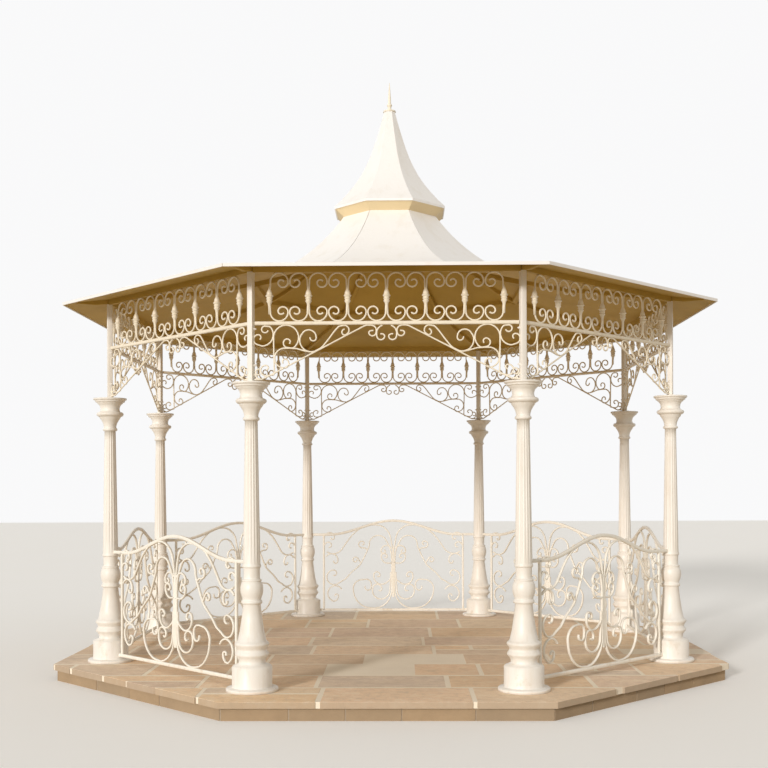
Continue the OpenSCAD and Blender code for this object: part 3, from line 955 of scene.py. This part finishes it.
def blocks(name, polygons, low, high, piece, materials, coreRing,
           least=0.4, spread=0.25, bevel=0.7):
    # chamfered stones from [(outline, tone, hue, drop)] about a core of mortar;
    # a side gives up a share of the joint, from least to least + spread
    rim = deck["ring"] * math.cos(halfBay)
    verts, faces, indices, tone, hue, edge = [], [], [], [], [], []
    for polygon, toneValue, hueValue, drop in polygons:
        if len(polygon) < 3 or area(polygon) < deck["smallest"]:
            continue
        outer = clip(inset(polygon, piece["joint"] * (least + spread * hueValue)), rim)
        inner = inset(outer, piece["chamfer"])
        n = len(outer)
        made = sleeve(3, n, len(verts))
        top = high - drop
        for outline, z in ((outer, low), (outer, top - piece["chamfer"] * bevel), (inner, top)):
            verts += [(p.x, p.y, z) for p in outline]
        faces += made
        indices += [0] * len(made)
        tone += [toneValue] * len(made)
        hue += [hueValue] * len(made)
        edge += [1.0] * n + [0.25] * n + [1.0, 0.0]  # how much painted shade darkens the sides, chamfers, foot and head
    made = sleeve(2, plan["bays"], len(verts))
    for z in (low, high - piece["coreDrop"]):
        verts += [polar(coreRing, turn, z) for turn in cornerTurns]
    faces += made
    indices += [1] * len(made)
    tone += [0.5] * len(made)
    hue += [0.5] * len(made)
    edge += [0.0] * len(made)
    return meshPiece(name, verts, faces, materials, indices,
                     tones={"tone": tone, "hue": hue, "edge": edge})


flagFoot = plan["deckHeight"] - deck["flag"]
flags = blocks("deckFlags", flagPolygons(), flagFoot, plan["deckHeight"], deck,
               [finishes["flags"], finishes["mortar"]], deck["ring"] - deck["coreInside"])
place(flags, "flagstone", "flagstone_deck")

# The stones of a side are shares of its length, and the last takes what is left
riser = {"inside": 0.030 / math.cos(halfBay), "depth": 0.16, "stone": (0.16, 0.30),
         "lastFrom": 0.86, "seed": 7, "joint": 0.010, "chamfer": 0.003, "coreInside": 0.010,
         "coreDrop": 0.0}


def riserPolygons():
    dice = random.Random(riser["seed"])
    outer = deck["ring"] - riser["inside"]
    inner = outer - riser["depth"]
    polygons = []
    for k in range(plan["bays"]):
        a0 = -math.pi / 2 - halfBay + 2 * halfBay * k
        p, q = polar(outer, a0).to_2d(), polar(outer, a0 + 2 * halfBay).to_2d()
        pIn, qIn = polar(inner, a0).to_2d(), polar(inner, a0 + 2 * halfBay).to_2d()
        t = 0.0
        while t < 1:
            step = dice.uniform(*riser["stone"])
            if t + step > riser["lastFrom"]:
                step = 1 - t
            stone = [p.lerp(q, t), p.lerp(q, t + step),
                     qIn.lerp(pIn, 1 - t - step), qIn.lerp(pIn, 1 - t)]
            polygons.append((stone, dice.random(), dice.random(), 0.0))
            t += step
    return polygons


stones = blocks("riserBlocks", riserPolygons(), 0.0, flagFoot, riser,
                [finishes["riser"], finishes["riserMortar"]],
                deck["ring"] - riser["inside"] - riser["coreInside"])
place(stones, "riser_stone", "plinth_riser")
print("deck laid")

# The nodes that show as they are; the ring beam and purlin ring take the soffit's painted shade,
# the fascia the roof paint
for name, finish in {"ring_beam": "soffit", "purlin_ring": "soffit", "fascia": "roof"}.items():
    cadNodes[name].data.materials.clear()
    cadNodes[name].data.materials.append(finishes[finish])


# The floor and the sky are pale to the camera; the floor throws back a warmer tone on the object
stage = {"floorHalf": 40, "floorTone": (0.92, 0.915, 0.90), "floorLift": (0.10, 0.10, 0.10),
         "floorBounce": (0.62, 0.52, 0.38), "skyTone": (0.95, 0.95, 0.955),
         "skyLight": (1.0, 0.955, 0.875), "skyStrength": 0.52}


def backdropRays(bench):
    # 1 for the rays that see the background: the camera's, and those off gloss or through glass
    seen = bench.make("ShaderNodeLightPath", result="Is Camera Ray")
    for name in ("Is Glossy Ray", "Is Transmission Ray"):
        seen = seen.maths("MAXIMUM", bench.make("ShaderNodeLightPath", result=name))
    return seen


def paleFloor():
    half = stage["floorHalf"]
    corners = [(-half, -half, 0), (half, -half, 0), (half, half, 0), (-half, half, 0)]
    floor = meshPiece("floor", corners, [(0, 1, 2, 3)], [])
    f = Finish("paleFloor", **{"Roughness": 0.9, "Emission Strength": 1.0})
    shade = f.mix(f.noise(0.6, 3), stage["floorTone"], tuple(0.97 * c for c in stage["floorTone"]))
    seen = backdropRays(f)
    lift = f.mix(seen, (0, 0, 0), stage["floorLift"])
    colour = f.mix(seen, stage["floorBounce"], shade)
    floor.data.materials.append(f.done(colour, Emission_Color=lift))


paleFloor()

world = bpy.data.worlds.new("softSky")
bpy.context.scene.world = world
world.use_nodes = True
world.node_tree.nodes.clear()
sky = Bench(world.node_tree)
seen = sky.make("ShaderNodeBackground", {}, {"Color": stage["skyTone"], "Strength": 1.0})
light = sky.make("ShaderNodeBackground", {},
                 {"Color": stage["skyLight"], "Strength": stage["skyStrength"]})
both = sky.make("ShaderNodeMixShader", {}, {0: backdropRays(sky), 1: light, 2: seen})
sky.make("ShaderNodeOutputWorld", {}, {"Surface": both})


# Degrees, the azimuth from the photograph's side towards its left
sun = {"azimuth": 29, "elevation": 15, "strength": 2.30, "spread": 8, "tint": (1.0, 0.965, 0.925)}
lamp = bpy.data.lights.new("lowSun", "SUN")
lamp.energy, lamp.angle, lamp.color = sun["strength"], math.radians(sun["spread"]), sun["tint"]
lowSun = bpy.data.objects.new("lowSun", lamp)
lowSun.rotation_euler = (math.radians(90 - sun["elevation"]), 0, math.radians(-sun["azimuth"]))
bpy.context.scene.collection.objects.link(lowSun)

# The photograph's camera: angles in radians, focal length and shift in pixels of its frame
view = {"spot": (0.1072, -9.9156, 1.5198), "yaw": 0.0137, "pitch": 0.0, "roll": -0.0034,
        "focal": 1118.9, "shift": (-3.56, 103.5), "frame": 768, "sensor": 36.0, "clipEnd": 200}
camera = bpy.data.cameras.new("photoCamera")
camera.sensor_width, camera.sensor_fit = view["sensor"], "HORIZONTAL"
camera.lens = view["focal"] / view["frame"] * view["sensor"]
camera.shift_x, camera.shift_y = view["shift"][0] / view["frame"], view["shift"][1] / view["frame"]
camera.clip_end = view["clipEnd"]
eye = bpy.data.objects.new("photoCamera", camera)
eye.matrix_world = (Matrix.Translation(view["spot"]) @ Matrix.Rotation(view["yaw"], 4, "Z")
                    @ Matrix.Rotation(math.pi / 2 + view["pitch"], 4, "X")
                    @ Matrix.Rotation(view["roll"], 4, "Z"))
bpy.context.scene.collection.objects.link(eye)
bpy.context.scene.camera = eye
bpy.context.scene.view_settings.view_transform = "Standard"

print("stage set")
